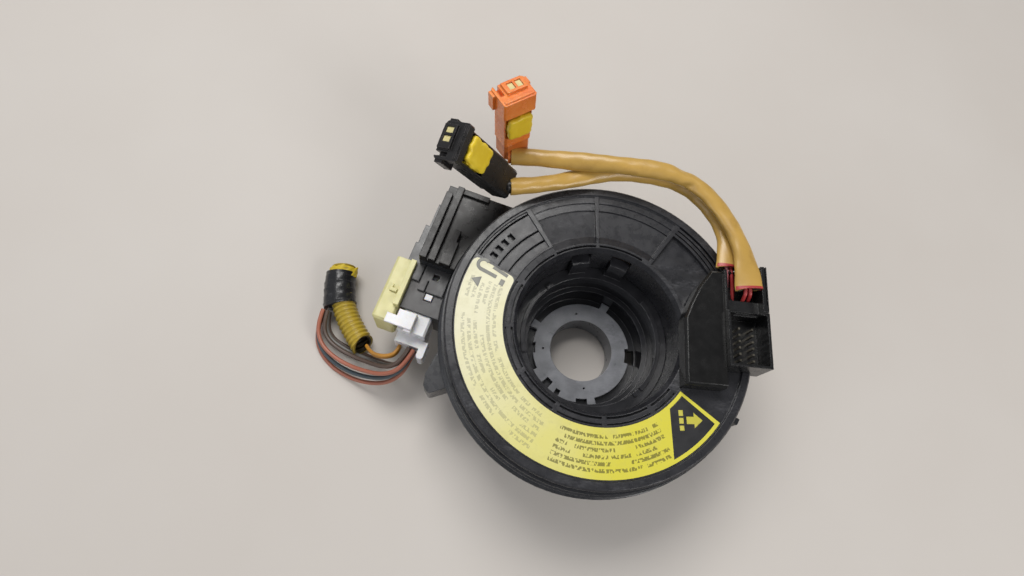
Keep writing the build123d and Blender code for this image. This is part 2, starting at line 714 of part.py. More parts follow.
conduit_points = [
    (-94.3, 33.4, 5.1), (-94.3, 24.5, 5.1), (-92.6, 15.6, 5.1), (-88.6, 7.4, 5.1),
    (-83.5, 0.1, 5.1)]
tape_points = [(-94.3, 33.3, 5.1), (-94.3, 24.5, 5.1), (-92.95, 17.43, 5.1)]
harness_route = [
    (-64.3, -3.75, 21.5), (-66.5, -8.0, 20.9), (-69.9, -12.0, 17.7), (-74.6, -13.5, 12.7),
    (-80.9, -12.2, 7.2), (-88.0, -9.4, 3.9), (-95.0, -5.0, 2.8), (-100.0, 1.6, 2.8),
    (-101.3, 9.4, 3.6), (-99.5, 15.2, 4.5)]
sensor_route = [
    (-68.95, -1.95, 18.6), (-70.05, -5.2, 18.9), (-72.85, -6.9, 18.4), (-76.6, -6.9, 16.2),
    (-80.3, -4.0, 11.8), (-82.1, -0.2, 7.4)]


os.makedirs("parts", exist_ok=True)


def save(name, shape):
    """Write one node."""
    export_step(shape, f"parts/{name}.step")


rotor_cover = make_rotor_cover()
wheel_socket = make_wheel_socket()
rotor_cover -= wheel_socket
yellow_label, dark_panel = make_labels()
save("rotor_block", rotor_cover)
save("wheel_socket", wheel_socket)
save("wheel_socket_pins", make_socket_pins())
save("rotor_face", make_rotor_face([rotor_cover, wheel_socket]))
save("label_sheet", yellow_label)
save("label_end_panel", dark_panel)
save("rotor_hub", make_hub())
save("cancel_cam", make_cancel_cam())
save("flat_cable", make_flat_cable())
save("stator_case", make_stator_case())
save("stator_base", make_base())
save("block_cover", make_block_cover())
save("lower_socket", make_lower_socket())
main_plug, plug_retainer = make_main_plug()
save("main_harness_plug", main_plug)
save("plug_retainer", plug_retainer)
save("airbag_harness_plug", make_airbag_plug())
upper_lead = make_cord("upper lead", upper_lead_points, lead_width)
lower_lead = make_cord("lower lead", lower_lead_points, lead_width)
save("airbag_lead_upper", upper_lead)
save("airbag_lead_lower", lower_lead)
orange_plug = make_squib(
    squib_frame(orange_tail, *orange_turns), upper_lead_points, orange_length, orange_width,
    orange_height, orange_head_length, orange_lock_start, orange_lock_length)
black_plug = make_squib(
    squib_frame(black_tail, *black_turns), lower_lead_points, black_length, black_width,
    black_height, black_head_length, black_lock_start, black_lock_length)
for name, pieces in (("orange", orange_plug), ("black", black_plug)):
    body, boot, lock, insert = pieces
    save(f"{name}_plug_body", body)
    save(f"{name}_plug_boot", boot)
    save(f"{name}_lock", lock)
    save(f"{name}_plug_insert", insert)
save("harness_conduit", make_cord("conduit", conduit_points, conduit_width))
save("harness_tape", make_tape(tape_points))
# each wire's shift at the ends of the run, and where the bundle fans out
harness_shifts = (
    (-0.9, -1.8, -5.2, -1.5), (0.9, -1.8, 3.5, -1.5), (-0.9, 0.0, -3.5, -0.3),
    (0.9, 0.0, 1.8, -0.3), (-0.9, 1.8, -1.8, 1.0), (0.9, 1.8, 0.1, 1.0))
for index, shifts in enumerate(harness_shifts):
    points = bundle_points(harness_route, *shifts)
    save(f"harness_wire_{index + 1}", make_cord(f"wire {index + 1}", points, wire_width))
for index, rise in enumerate((-0.85, 0.85)):
    points = bundle_points(sensor_route, 0, rise, 0, rise)
    save(f"sensor_wire_{index + 1}", make_cord(f"sensor wire {index + 1}", points, thin_wire_width))
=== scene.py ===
import math

import bmesh
import bpy
from mathutils import Matrix, Vector


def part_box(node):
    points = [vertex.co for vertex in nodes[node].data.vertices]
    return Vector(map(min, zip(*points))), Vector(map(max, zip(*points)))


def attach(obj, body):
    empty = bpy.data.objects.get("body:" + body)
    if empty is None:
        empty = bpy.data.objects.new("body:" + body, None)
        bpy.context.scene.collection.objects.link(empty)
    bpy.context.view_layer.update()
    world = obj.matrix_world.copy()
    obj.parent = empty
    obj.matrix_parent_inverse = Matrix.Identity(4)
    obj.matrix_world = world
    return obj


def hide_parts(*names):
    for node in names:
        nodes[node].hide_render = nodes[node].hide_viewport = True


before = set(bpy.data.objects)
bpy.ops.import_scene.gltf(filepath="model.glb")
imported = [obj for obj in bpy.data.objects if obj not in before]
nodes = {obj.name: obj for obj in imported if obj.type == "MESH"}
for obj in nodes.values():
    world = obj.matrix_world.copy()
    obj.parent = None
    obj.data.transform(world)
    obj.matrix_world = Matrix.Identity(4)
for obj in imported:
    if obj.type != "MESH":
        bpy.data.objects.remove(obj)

MM = 0.001           # the frame is in metres, the shapes below are in millimetres
FULL_TURN = 2 * math.pi
UPRIGHT = Vector((0, 0, 1))

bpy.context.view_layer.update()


# ------------------------------------------------------------------ materials
class Graph:
    """Small helper around one material's node tree."""

    def __init__(self, mat):
        mat.use_nodes = True
        self.mat = mat
        self.tree = mat.node_tree
        self.bsdf = self.tree.nodes["Principled BSDF"]
        self.coord = self.add("ShaderNodeTexCoord").outputs["Object"]

    @classmethod
    def new(cls, name):
        return cls(bpy.data.materials.new(name))

    def add(self, kind, **props):
        node = self.tree.nodes.new(kind)
        for key, value in props.items():
            setattr(node, key, value)
        return node

    def feed(self, socket, value):
        """Link a socket to a node's output, or set it to a number or a colour."""
        if isinstance(value, bpy.types.NodeSocket):
            self.tree.links.new(value, socket)
        elif socket.type == "RGBA":
            socket.default_value = (*value, 1)
        else:
            socket.default_value = value

    def shade(self, **sockets):
        """Feed the shader's own sockets, their names written with underscores."""
        for key, value in sockets.items():
            self.feed(self.bsdf.inputs[key.replace("_", " ")], value)

    def math(self, operation, a, b=None, clamp=False):
        node = self.add("ShaderNodeMath", operation=operation, use_clamp=clamp)
        for socket, value in zip(node.inputs, (a, b)):
            if value is not None:
                self.feed(socket, value)
        return node.outputs[0]

    def product(self, first, *others):
        for other in others:
            first = self.math("MULTIPLY", first, other)
        return first

    def within(self, value, low, high):
        """1 between two limits, 0 outside them."""
        return self.product(self.math("GREATER_THAN", value, low),
                            self.math("LESS_THAN", value, high))

    def noise(self, scale, detail=3.0, rough=0.55, coord=None):
        """Noise with its scale in cycles per metre."""
        node = self.add("ShaderNodeTexNoise")
        self.feed(node.inputs["Scale"], scale)
        self.feed(node.inputs["Detail"], detail)
        self.feed(node.inputs["Roughness"], rough)
        self.feed(node.inputs["Vector"], coord or self.coord)
        return node.outputs["Fac"]

    def ramp(self, value, low, high):
        """0 at the low value, 1 at the high one."""
        node = self.add("ShaderNodeMapRange")
        self.feed(node.inputs["Value"], value)
        self.feed(node.inputs["From Min"], low)
        self.feed(node.inputs["From Max"], high)
        return node.outputs["Result"]

    def spread(self, value, low, high):
        """A value between 0 and 1 spread between two limits."""
        node = self.add("ShaderNodeMapRange")
        self.feed(node.inputs["Value"], value)
        self.feed(node.inputs["To Min"], low)
        self.feed(node.inputs["To Max"], high)
        return node.outputs["Result"]

    def mix(self, factor, a, b):
        node = self.add("ShaderNodeMix", data_type="RGBA")
        for index, value in ((0, factor), (6, a), (7, b)):
            self.feed(node.inputs[index], value)
        return node.outputs[2]

    def axes(self, vector):
        node = self.add("ShaderNodeSeparateXYZ")
        self.feed(node.inputs[0], vector)
        return node.outputs["X"], node.outputs["Y"], node.outputs["Z"]

    def vector(self, *values):
        node = self.add("ShaderNodeCombineXYZ")
        for socket, value in zip(node.inputs, values):
            self.feed(socket, value)
        return node.outputs[0]

    def upward(self):
        """1 on faces that look up in the part's own frame, 0 on the others."""
        normal = self.add("ShaderNodeTexCoord").outputs["Normal"]
        return self.ramp(self.axes(normal)[2], 0.2, 0.95)

    def edges(self, radius):
        """1 along worn edges, and the rounded normal that goes with it."""
        bevel = self.add("ShaderNodeBevel", samples=4)
        self.feed(bevel.inputs["Radius"], radius)
        rounded = bevel.outputs[0]
        dot = self.add("ShaderNodeVectorMath", operation="DOT_PRODUCT")
        self.feed(dot.inputs[0], rounded)
        self.feed(dot.inputs[1], self.add("ShaderNodeNewGeometry").outputs["Normal"])
        return self.ramp(dot.outputs["Value"], 0.97, 0.80), rounded

    def bump(self, height, strength, distance, normal=None):
        node = self.add("ShaderNodeBump")
        self.feed(node.inputs["Strength"], strength)
        self.feed(node.inputs["Distance"], distance)
        self.feed(node.inputs["Height"], height)
        if normal is not None:
            self.feed(node.inputs["Normal"], normal)
        self.shade(Normal=node.outputs[0])


def plastic(name, base, rough, light, dust=(0.42, 0.39, 0.35), dusty=0.0, edge=0.0004,
            wear=0.35, wear_color=None, mottle=170.0, sss=0.0, coat=0.0, spec=0.5):
    """Moulded plastic: mottled colour, settled dust, worn edges, fine moulded grain."""
    g = Graph.new(name)
    blotches = g.ramp(g.noise(mottle, 4.0), 0.38, 0.68)
    color = g.mix(blotches, base, light)
    worn, rounded = g.edges(edge)
    patchy = g.ramp(g.noise(420.0), 0.35, 0.62)
    wear_color = wear_color or tuple(min(1.0, c * 1.9 + 0.035) for c in base)
    color = g.mix(g.product(worn, patchy, wear), color, wear_color)
    handled = g.ramp(g.noise(330.0, 4.0, 0.6), 0.2, 0.85)
    roughness = g.spread(handled, max(0.05, rough - 0.12), min(1.0, rough + 0.14))
    if dusty > 0:
        film = g.ramp(g.noise(95.0, 6.0, 0.7), 0.42, 0.72)
        specks = g.ramp(g.noise(2600.0, 2.0), 0.64, 0.72)
        both = g.math("ADD", g.product(film, 0.55), g.product(specks, 0.8))
        amount = g.math("MULTIPLY", g.product(both, g.upward()), dusty, clamp=True)
        color = g.mix(amount, color, dust)
        roughness = g.math("ADD", roughness, g.product(amount, 0.5), clamp=True)
    g.shade(Base_Color=color, Roughness=roughness, Specular_IOR_Level=spec)
    grain = g.noise(5200.0, 2.0)
    g.bump(grain, 0.12, 0.00008, rounded)
    if sss:
        g.shade(Subsurface_Weight=sss, Subsurface_Radius=(0.003, 0.0022, 0.0012))
    if coat:
        g.shade(Coat_Weight=coat, Coat_Roughness=0.18)
    return g.mat


def smear(mat, tint, amount):
    """Wiped grey film in long drifts over the faces that look up."""
    g = Graph(mat)
    clean = g.bsdf.inputs["Base Color"].links[0].from_socket
    stretch = g.add("ShaderNodeMapping")
    g.feed(stretch.inputs["Vector"], g.coord)
    g.feed(stretch.inputs["Rotation"], (0, 0, math.radians(35)))
    g.feed(stretch.inputs["Scale"], (1.0, 3.2, 1.0))
    streaky = stretch.outputs[0]
    drift = g.ramp(g.noise(34.0, 5.0, 0.62, streaky), 0.52, 0.74)
    scratches = g.ramp(g.noise(620.0, 3.0, 0.6, streaky), 0.40, 0.70)
    g.shade(Base_Color=g.mix(g.product(drift, scratches, g.upward(), amount), clean, tint))


def sleeve(name, base, dark, rough=0.38):
    """Soft insulation: slow colour drift, grime patches and shallow dents."""
    g = Graph.new(name)
    drift = g.ramp(g.noise(75.0, 4.0), 0.35, 0.7)
    color = g.mix(drift, base, tuple(c * 0.86 for c in base))
    grime = g.ramp(g.noise(140.0, 6.0, 0.7), 0.54, 0.8)
    color = g.mix(g.product(grime, 0.5), color, dark)
    g.shade(Base_Color=color, Roughness=g.spread(g.noise(260.0), rough - 0.1, rough + 0.2),
            Coat_Weight=0.2, Coat_Roughness=0.25)
    g.bump(g.noise(210.0), 0.35, 0.0004)
    return g.mat


def metal(name, base):
    """Plated contact."""
    g = Graph.new(name)
    tarnish = g.ramp(g.noise(600.0), 0.4, 0.7)
    g.shade(Base_Color=g.mix(tarnish, base, tuple(c * 0.6 for c in base)), Metallic=1.0,
            Roughness=0.3)
    g.bump(g.noise(3000.0), 0.1, 0.00005)
    return g.mat


def label_paper():
    """Yellow film, paler towards one side in a straight gradient, with rows of short marks in
    two fields.
    """
    first_row, row_pitch = 0.0352, 0.0021      # radius and pitch of the rows, metres
    inner, outer = 0.0354, 0.0478              # marks keep between these radii
    length = 0.262                             # once round the label's middle, metres
    g = Graph.new("label_film")
    x, y, _ = g.axes(g.coord)
    # a straight gradient in the label's own frame: paler towards -x and +y, deeper yellow
    # towards +x and -y
    slope = g.math("SUBTRACT", x, g.product(y, 0.8))
    drift = g.product(g.math("SUBTRACT", g.noise(45.0, 4.0), 0.5), 0.05)
    pale_side_ramp = g.ramp(g.math("ADD", slope, drift), -0.045, 0.040)
    paper = g.mix(pale_side_ramp, (0.74, 0.71, 0.50), (0.66, 0.60, 0.060))
    stain = g.ramp(g.noise(120.0, 6.0, 0.7), 0.52, 0.8)
    paper = g.mix(g.product(stain, 0.35), paper, (0.42, 0.39, 0.16))
    rub = g.ramp(g.noise(900.0), 0.62, 0.75)
    paper = g.mix(g.product(rub, 0.25), paper, (0.36, 0.34, 0.20))

    radius = g.math("SQRT", g.math("ADD", g.product(x, x), g.product(y, y)))
    angle = g.math("ARCTAN2", y, x)
    turn = g.math("FRACT", g.math("DIVIDE", g.math("ADD", angle, FULL_TURN), FULL_TURN))
    rows = g.math("DIVIDE", g.math("SUBTRACT", radius, first_row), row_pitch)
    row = g.math("FLOOR", rows)
    in_row = g.within(g.math("FRACT", rows), 0.20, 0.78)
    along = g.product(turn, length)
    lane = g.product(row, 0.37)                # sets each row's pattern apart
    word_place = g.vector(along, lane)
    stroke_place = g.vector(along, g.product(rows, 0.0011), lane)
    strokes = g.math("GREATER_THAN", g.noise(1500.0, 1.0, 0.5, stroke_place), 0.47)
    words = g.math("GREATER_THAN", g.noise(170.0, 1.0, 0.5, word_place), 0.42)
    marks = g.product(in_row, strokes, words, g.within(radius, inner, outer))
    for first, last, strength, ink in ((158, 238, 0.40, (0.20, 0.19, 0.13)),
                                       (246, 298, 0.72, (0.085, 0.075, 0.018))):
        field = g.within(turn, first / 360.0, last / 360.0)
        paper = g.mix(g.product(marks, field, strength), paper, ink)
    g.shade(Base_Color=paper, Roughness=g.spread(g.noise(240.0), 0.28, 0.50))
    g.bump(g.noise(420.0, 4.0), 0.12, 0.0002)
    return g.mat


LOOKS = {
    "rotor": plastic("rotor_plastic", (0.0170, 0.0172, 0.0200), 0.28, (0.027, 0.0272, 0.031),
                     dusty=0.10, dust=(0.11, 0.11, 0.12), wear=0.40,
                     wear_color=(0.095, 0.096, 0.108), spec=0.45),
    "hub": plastic("hub_plastic", (0.015, 0.015, 0.0175), 0.18, (0.024, 0.024, 0.028),
                   dusty=0.12, dust=(0.12, 0.12, 0.125), wear=0.60,
                   wear_color=(0.20, 0.20, 0.215)),
    "cam": plastic("cam_plastic", (0.165, 0.170, 0.186), 0.32, (0.245, 0.252, 0.275),
                   dusty=0.34, dust=(0.38, 0.39, 0.42), wear=0.5,
                   wear_color=(0.34, 0.34, 0.37)),
    "block": plastic("cover_plastic", (0.0050, 0.0048, 0.0048), 0.22, (0.0080, 0.0078, 0.0078),
                     dusty=0.05, dust=(0.07, 0.065, 0.06)),
    "socket": plastic("wheel_socket_plastic", (0.007, 0.007, 0.0075), 0.26,
                      (0.011, 0.011, 0.012), dusty=0.08, dust=(0.08, 0.08, 0.08)),
    "case": plastic("case_plastic", (0.0225, 0.0235, 0.027), 0.28, (0.034, 0.035, 0.040),
                    dusty=0.14, dust=(0.10, 0.10, 0.11), wear=0.3),
    "lid": plastic("lid_plastic", (0.0070, 0.0063, 0.0064), 0.30, (0.0115, 0.0105, 0.0104),
                   dusty=0.10, dust=(0.075, 0.064, 0.057), spec=0.34),
    "grey": plastic("grey_plastic", (0.050, 0.049, 0.051), 0.40, (0.074, 0.072, 0.074),
                    dusty=0.26, dust=(0.18, 0.165, 0.15), wear=0.85,
                    wear_color=(0.30, 0.30, 0.31), edge=0.0006),
    "white": plastic("white_plastic", (0.78, 0.78, 0.80), 0.30, (0.87, 0.87, 0.88),
                     dusty=0.24, dust=(0.42, 0.40, 0.38), wear=0.3,
                     wear_color=(0.86, 0.86, 0.88), mottle=110.0, sss=0.35),
    "pale": plastic("pale_yellow_plastic", (0.62, 0.58, 0.27), 0.40, (0.70, 0.66, 0.34),
                    dusty=0.12, dust=(0.45, 0.42, 0.30), wear=0.2,
                    wear_color=(0.80, 0.77, 0.52), sss=0.15),
    "insert": plastic("insert_plastic", (0.66, 0.58, 0.26), 0.42, (0.74, 0.66, 0.34),
                      wear=0.2, wear_color=(0.85, 0.80, 0.55), sss=0.1),
    "ribbon": plastic("ribbon_film", (0.30, 0.095, 0.022), 0.26, (0.44, 0.16, 0.04)),
    "orange": plastic("orange_plastic", (0.80, 0.19, 0.030), 0.26, (0.86, 0.28, 0.06),
                      dusty=0.08, dust=(0.70, 0.40, 0.24), wear=0.6,
                      wear_color=(0.95, 0.52, 0.26), sss=0.25, coat=0.3),
    "boot": plastic("boot_plastic", (0.55, 0.13, 0.024), 0.32, (0.64, 0.19, 0.04), sss=0.2),
    "lock": plastic("lock_plastic", (0.80, 0.565, 0.022), 0.34, (0.88, 0.66, 0.05),
                    dusty=0.08, dust=(0.46, 0.36, 0.14), wear=0.25,
                    wear_color=(0.88, 0.74, 0.22)),
    "black": plastic("black_plug_plastic", (0.009, 0.0085, 0.009), 0.30,
                     (0.014, 0.013, 0.014), dusty=0.12, dust=(0.09, 0.08, 0.075), wear=0.7,
                     wear_color=(0.15, 0.14, 0.14)),
    "sheath": sleeve("lead_sleeve", (0.545, 0.335, 0.078), (0.28, 0.145, 0.038), 0.30),
    "conduit": sleeve("conduit_yellow", (0.42, 0.30, 0.028), (0.21, 0.145, 0.02), 0.30),
    # painted shade: the hollows of the conduit and of the sleeves' mouths get a dark brown
    # copy of their yellow, standing in for the shade inside them
    "inside": sleeve("conduit_inside_painted_shade", (0.055, 0.040, 0.012), (0.02, 0.015, 0.01), 0.5),
    "tape": sleeve("tape_vinyl", (0.011, 0.011, 0.013), (0.024, 0.022, 0.022), 0.18),
    "cloth": sleeve("tape_end_yellow", (0.66, 0.48, 0.02), (0.42, 0.28, 0.02), 0.6),
    "brown": sleeve("wire_brown", (0.085, 0.055, 0.042), (0.035, 0.028, 0.024)),
    "salmon": sleeve("wire_salmon", (0.38, 0.125, 0.075), (0.17, 0.07, 0.05)),
    "wgrey": sleeve("wire_grey", (0.15, 0.145, 0.14), (0.06, 0.06, 0.055)),
    "blue": sleeve("wire_blue_grey", (0.045, 0.068, 0.085), (0.02, 0.024, 0.028)),
    "worange": sleeve("wire_orange", (0.55, 0.25, 0.03), (0.24, 0.11, 0.025)),
    "red": sleeve("wire_red", (0.42, 0.035, 0.035), (0.2, 0.02, 0.02)),
    "pink": sleeve("wire_pink", (0.50, 0.16, 0.18), (0.25, 0.08, 0.09)),
    "pin": metal("pin_metal", (0.34, 0.31, 0.25)),
    "label": label_paper(),
    "panel": plastic("panel_print", (0.020, 0.020, 0.022), 0.34, (0.028, 0.028, 0.030),
                     dusty=0.08, dust=(0.10, 0.10, 0.10)),
    "arrow": plastic("arrow_print", (0.52, 0.475, 0.06), 0.42, (0.56, 0.51, 0.10)),
    "ink": plastic("ink_grey", (0.20, 0.20, 0.18), 0.45, (0.27, 0.27, 0.24)),
}

smear(LOOKS["rotor"], (0.24, 0.24, 0.26), 0.50)
smear(LOOKS["lid"], (0.13, 0.115, 0.105), 0.26)
smear(LOOKS["cam"], (0.34, 0.34, 0.38), 0.60)

NODE_LOOKS = {
    "rotor_face": "rotor", "rotor_hub": "hub", "cancel_cam": "cam", "rotor_block": "block",
    "wheel_socket": "socket", "wheel_socket_pins": "pin", "label_sheet": "label",
    "label_end_panel": "panel", "stator_case": "case", "stator_base": "case",
    "block_cover": "lid", "lower_socket": "grey", "main_harness_plug": "white",
    "plug_retainer": "white", "airbag_harness_plug": "pale", "flat_cable": "ribbon",
    "orange_plug_body": "orange", "orange_plug_boot": "boot", "orange_lock": "lock",
    "black_plug_body": "black", "black_plug_boot": "black", "black_lock": "lock",
    "orange_plug_insert": "insert", "black_plug_insert": "insert",
    "airbag_lead_upper": "sheath", "airbag_lead_lower": "sheath", "harness_conduit": "conduit",
    "harness_tape": "tape", "harness_wire_1": "brown", "harness_wire_2": "salmon",
    "harness_wire_3": "wgrey", "harness_wire_4": "blue", "harness_wire_5": "brown",
    "harness_wire_6": "salmon", "sensor_wire_1": "worange", "sensor_wire_2": "worange",
}
for node_name, look in NODE_LOOKS.items():
    mesh = nodes[node_name].data
    mesh.materials.clear()
    mesh.materials.append(LOOKS[look])


# ------------------------------------------------------------------ mesh helpers
def show(name, data):
    """A new object in the scene."""
    obj = bpy.data.objects.new(name, data)
    bpy.context.scene.collection.objects.link(obj)
    return obj


def piece(name, verts, faces, look, body, smooth=False):
    """A mesh object in metres, from points in millimetres, that rides on a body."""
    mesh = bpy.data.meshes.new(name)
    mesh.from_pydata([tuple(c * MM for c in v) for v in verts], [], faces)
    mesh.materials.append(LOOKS[look])
    bm = bmesh.new()
    bm.from_mesh(mesh)
    bmesh.ops.recalc_face_normals(bm, faces=bm.faces)
    bm.to_mesh(mesh)
    bm.free()
    for face in mesh.polygons:
        face.use_smooth = smooth
    obj = show(name, mesh)
    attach(obj, body)
    return obj


def prism(name, outline, z0, z1, look, body):
    """Flat piece with a closed outline of (x, y) in millimetres."""
    count = len(outline)
    verts = [(x, y, z0) for x, y in outline] + [(x, y, z1) for x, y in outline]
    faces = [tuple(range(count - 1, -1, -1)), tuple(range(count, 2 * count))]
    faces += ring_faces(0, count, count)
    return piece(name, verts, faces, look, body)


def ring_faces(first, second, around, flip=False):
    """Quads between two rings of points, given each ring's first index."""
    faces = []
    for s in range(around):
        t = (s + 1) % around
        face = (first + s, first + t, second + t, second + s)
        faces.append(tuple(reversed(face)) if flip else face)
    return faces


def tube_faces(start, rings, around, flip=False):
    """Quads along a run of rings that follow one another."""
    faces = []
    for first in range(start, start + (rings - 1) * around, around):
        faces += ring_faces(first, first + around, around, flip)
    return faces


def ring_cap(first, around):
    return tuple(first + s for s in range(around))


def turns(count):
    """Angles once round, in radians."""
    return [FULL_TURN * step / count for step in range(count)]


def spline_curve(name, points, resolution, scale=1.0):
    """Curve data with one smooth NURBS spline on a route's points."""
    curve = bpy.data.curves.new(name, "CURVE")
    curve.dimensions = "3D"
    curve.resolution_u = resolution
    spline = curve.splines.new("NURBS")
    spline.points.add(len(points) - 1)
    for target, point in zip(spline.points, points):
        target.co = (*(c * scale for c in point), 1.0)
    spline.order_u = 3
    spline.use_endpoint_u = True
    return curve


def wire(name, points, radius, look, body):
    """A round cord of its route, from points in millimetres."""
    curve = spline_curve(name, points, 14, MM)
    curve.bevel_depth = radius * MM
    curve.bevel_resolution = 6
    curve.use_fill_caps = True
    curve.materials.append(LOOKS[look])
    obj = show(name, curve)
    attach(obj, body)
    return obj


def route_line(points, resolution=24):
    """Points along the route's own NURBS spline, in millimetres."""
    holder = bpy.data.objects.new("route", spline_curve("route", points, resolution))
    line = bpy.data.meshes.new_from_object(holder)
    result = [v.co.copy() for v in line.vertices]
    bpy.data.objects.remove(holder)
    return result


def distances(line):
    """Distance walked from a line's start to each of its points."""
    walks = [0.0]
    for first, second in zip(line, line[1:]):
        walks.append(walks[-1] + (second - first).length)
    return walks


def line_length(line):
    return distances(line)[-1]


def side_axes(ahead):
    """Sideways and upward directions of a line that runs ahead."""
    across = UPRIGHT.cross(ahead).normalized()
    return across, ahead.cross(across)


def frames_along(line):
    """Point, sideways and upward vectors at each point of a line."""
    result = []
    for index, here in enumerate(line):
        before = line[max(index - 1, 0)]
        after = line[min(index + 1, len(line) - 1)]
        result.append((here, *side_axes((after - before).normalized())))
    return result


def offset_route(route, side, rise, fan_side=0.0, fan_rise=0.0):
    """A route shifted sideways and upward, and fanned out between its two ends."""
    guard = 0.001        # keeps the sine positive at the last point
    corners = [Vector(point) for point in route]
    last = len(corners) - 1
    moved = []
    for index, here in enumerate(corners):
        ahead = Vector()
        if index > 0:
            ahead += (here - corners[index - 1]).normalized()
        if index < last:
            ahead += (corners[index + 1] - here).normalized()
        across, over = side_axes(ahead.normalized())
        fan = math.sin(math.pi * max(index - 1, 0) / (last - 1 + guard)) ** 1.6
        moved.append(tuple(here + across * (side + fan_side * fan) +
                           over * (rise + fan_rise * fan)))
    return moved


def bump_at(where, middle, width):
    """Smooth bump of height 1."""
    return math.exp(-((where - middle) / width) ** 2)


# ------------------------------------------------------------------ print on the label
def bar(start, end, width):
    """Outline of a straight bar between two points."""
    a, b = Vector(start), Vector(end)
    side = (b - a).normalized().orthogonal() * (width / 2)
    return [tuple(a + side), tuple(b + side), tuple(b - side), tuple(a - side)]


def hook(middle, radius, width, first, last, steps=16):
    """Outline of a curved stroke about a point, between two angles in degrees."""
    bends = [math.radians(first + (last - first) * k / steps) for k in range(steps + 1)]

    def arc(reach, angles):
        return [(middle[0] + reach * math.cos(t), middle[1] + reach * math.sin(t))
                for t in angles]

    return arc(radius + width / 2, bends) + arc(radius - width / 2, bends[::-1])


def square_mark(left, top, bottom, width=1.5):
    return [(left, top), (left + width, top), (left + width, bottom), (left, bottom)]


# a straight arrow and plain bars on the dark end panel
PANEL_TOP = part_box("label_end_panel")[1][2] / MM
for name, outline in (
        ("panel_arrow", [(26.9, -29.5), (29.4, -29.5), (29.4, -28.2), (32.3, -30.7),
                         (29.4, -33.2), (29.4, -31.9), (26.9, -31.9)]),
        ("panel_bar_upper", square_mark(24.4, -27.4, -29.3)),
        ("panel_bar_middle", square_mark(24.4, -29.9, -31.8)),
        ("panel_bar_lower", square_mark(24.4, -32.4, -34.0))):
    prism(name, outline, PANEL_TOP - 0.03, PANEL_TOP + 0.05, "arrow", "rotor")

# a curved stroke, bars and a pointer at the start of the label
LABEL_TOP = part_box("label_sheet")[1][2] / MM
for name, outline, lift in (
        ("label_curl", hook((-40.0, 21.4), 1.9, 1.2, 20, 235), 0.06),
        ("label_curl_tail", bar((-41.2, 19.9), (-35.6, 16.9), 1.3), 0.065),
        ("label_bar", bar((-36.6, 20.5), (-31.7, 17.2), 1.2), 0.06),
        ("label_block", bar((-33.2, 15.9), (-34.2, 13.9), 1.6), 0.06),
        ("label_pointer", [(-44.2, 16.3), (-40.6, 16.9), (-41.9, 13.1)], 0.06)):
    prism(name, outline, LABEL_TOP - 0.05, LABEL_TOP + lift, "ink", "rotor")


# ------------------------------------------------------------------ lock plates
LOCK_SINK = 0.42             # the plate's foot lies this far under the plug's deck
LOCK_HEIGHT = 1.7
LEG_MARGIN = 2.6             # from each end of the plate to its legs


def plug_frame(tail, heading, lift, roll):
    """A plug's own frame: x towards the mating end, z out of its lock face."""
    facing = Matrix.Rotation(math.radians(heading), 4, "Z")
    facing = facing @ Matrix.Rotation(math.radians(-lift), 4, "Y")
    facing = facing @ Matrix.Rotation(math.radians(roll), 4, "X")
    return Matrix.Translation(tail) @ facing


def wavy_outline(waves, count):
    """Rounded square of half size 1 whose rim waves inward."""
    outline = []
    for turn in turns(count):
        c, d = math.cos(turn), math.sin(turn)
        square = (abs(c) ** 5 + abs(d) ** 5) ** (-1 / 5)
        inward = 1 - waves * 0.5 * (0.5 - 0.5 * math.cos(8 * turn + 0.9)) - \
            waves * 0.35 * (0.5 + 0.5 * math.sin(3 * turn))
        outline.append((c * square * inward, d * square * inward))
    return outline


def leg(start, end, near, far, foot, top, base):
    """Corners and faces of one upright box, whose points start at an index."""
    corners = [(x, y, z) for x in (start, end) for y in (near, far) for z in (foot, top)]
    sides = ((0, 1, 3, 2), (4, 6, 7, 5), (0, 4, 5, 1), (2, 3, 7, 6), (0, 2, 6, 4),
             (1, 5, 7, 3))
    return corners, [tuple(base + v for v in side) for side in sides]


def lock_plate(name, frame_at, start, end, half_width, deck, waves, body):
    """Lock plate with a wavy rim, as moulded, over two legs; never wider than its pocket."""
    foot, top = deck - LOCK_SINK, deck + LOCK_HEIGHT
    levels = ((0.25, foot), (0.0, foot + 0.3), (0.0, top - 0.55), (0.22, top - 0.18),
              (0.60, top), (1.5, top + 0.02), (2.6, top - 0.12))     # (inset, height)
    count = 96
    middle = (start + end) / 2
    half_length = (end - start) / 2
    outline = wavy_outline(waves, count)
    verts = [(middle + x * (half_length - inset), y * (half_width - inset), z)
             for inset, z in levels for x, y in outline]
    faces = tube_faces(0, len(levels), count)
    rim_faces = len(faces)
    faces.append(tuple(reversed(ring_cap(0, count))))
    faces.append(ring_cap((len(levels) - 1) * count, count))
    for side in (-1, 1):
        near, far = sorted((side * (half_width - 1.2), side * (half_width - 0.35)))
        corners, sides = leg(start + LEG_MARGIN, end - LEG_MARGIN, near, far, 3.4 - deck,
                             foot + 0.4, len(verts))
        verts += corners
        faces += sides
    placed = [tuple(frame_at @ Vector(v)) for v in verts]
    obj = piece(name + "_plate", placed, faces, "lock", body)
    for face in obj.data.polygons:
        face.use_smooth = len(face.vertices) == 4 and face.index < rim_faces
    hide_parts(name)
    return obj


ORANGE_FRAME = plug_frame((-30.5, 66.6, 46.4), 120.0, 81.4, 0.0)
BLACK_FRAME = plug_frame((-33.4, 51.5, 47.0), 184.5, 55.5, -29.3)
LOCKS = {
    "orange": lock_plate("orange_lock", ORANGE_FRAME, 11.2, 20.6, 4.9, 4.0, 0.14,
                         "orange_lock_plate"),
    "black": lock_plate("black_lock", BLACK_FRAME, 18.1, 30.1, 4.9, 4.05, 0.20,
                        "black_lock_plate"),
}

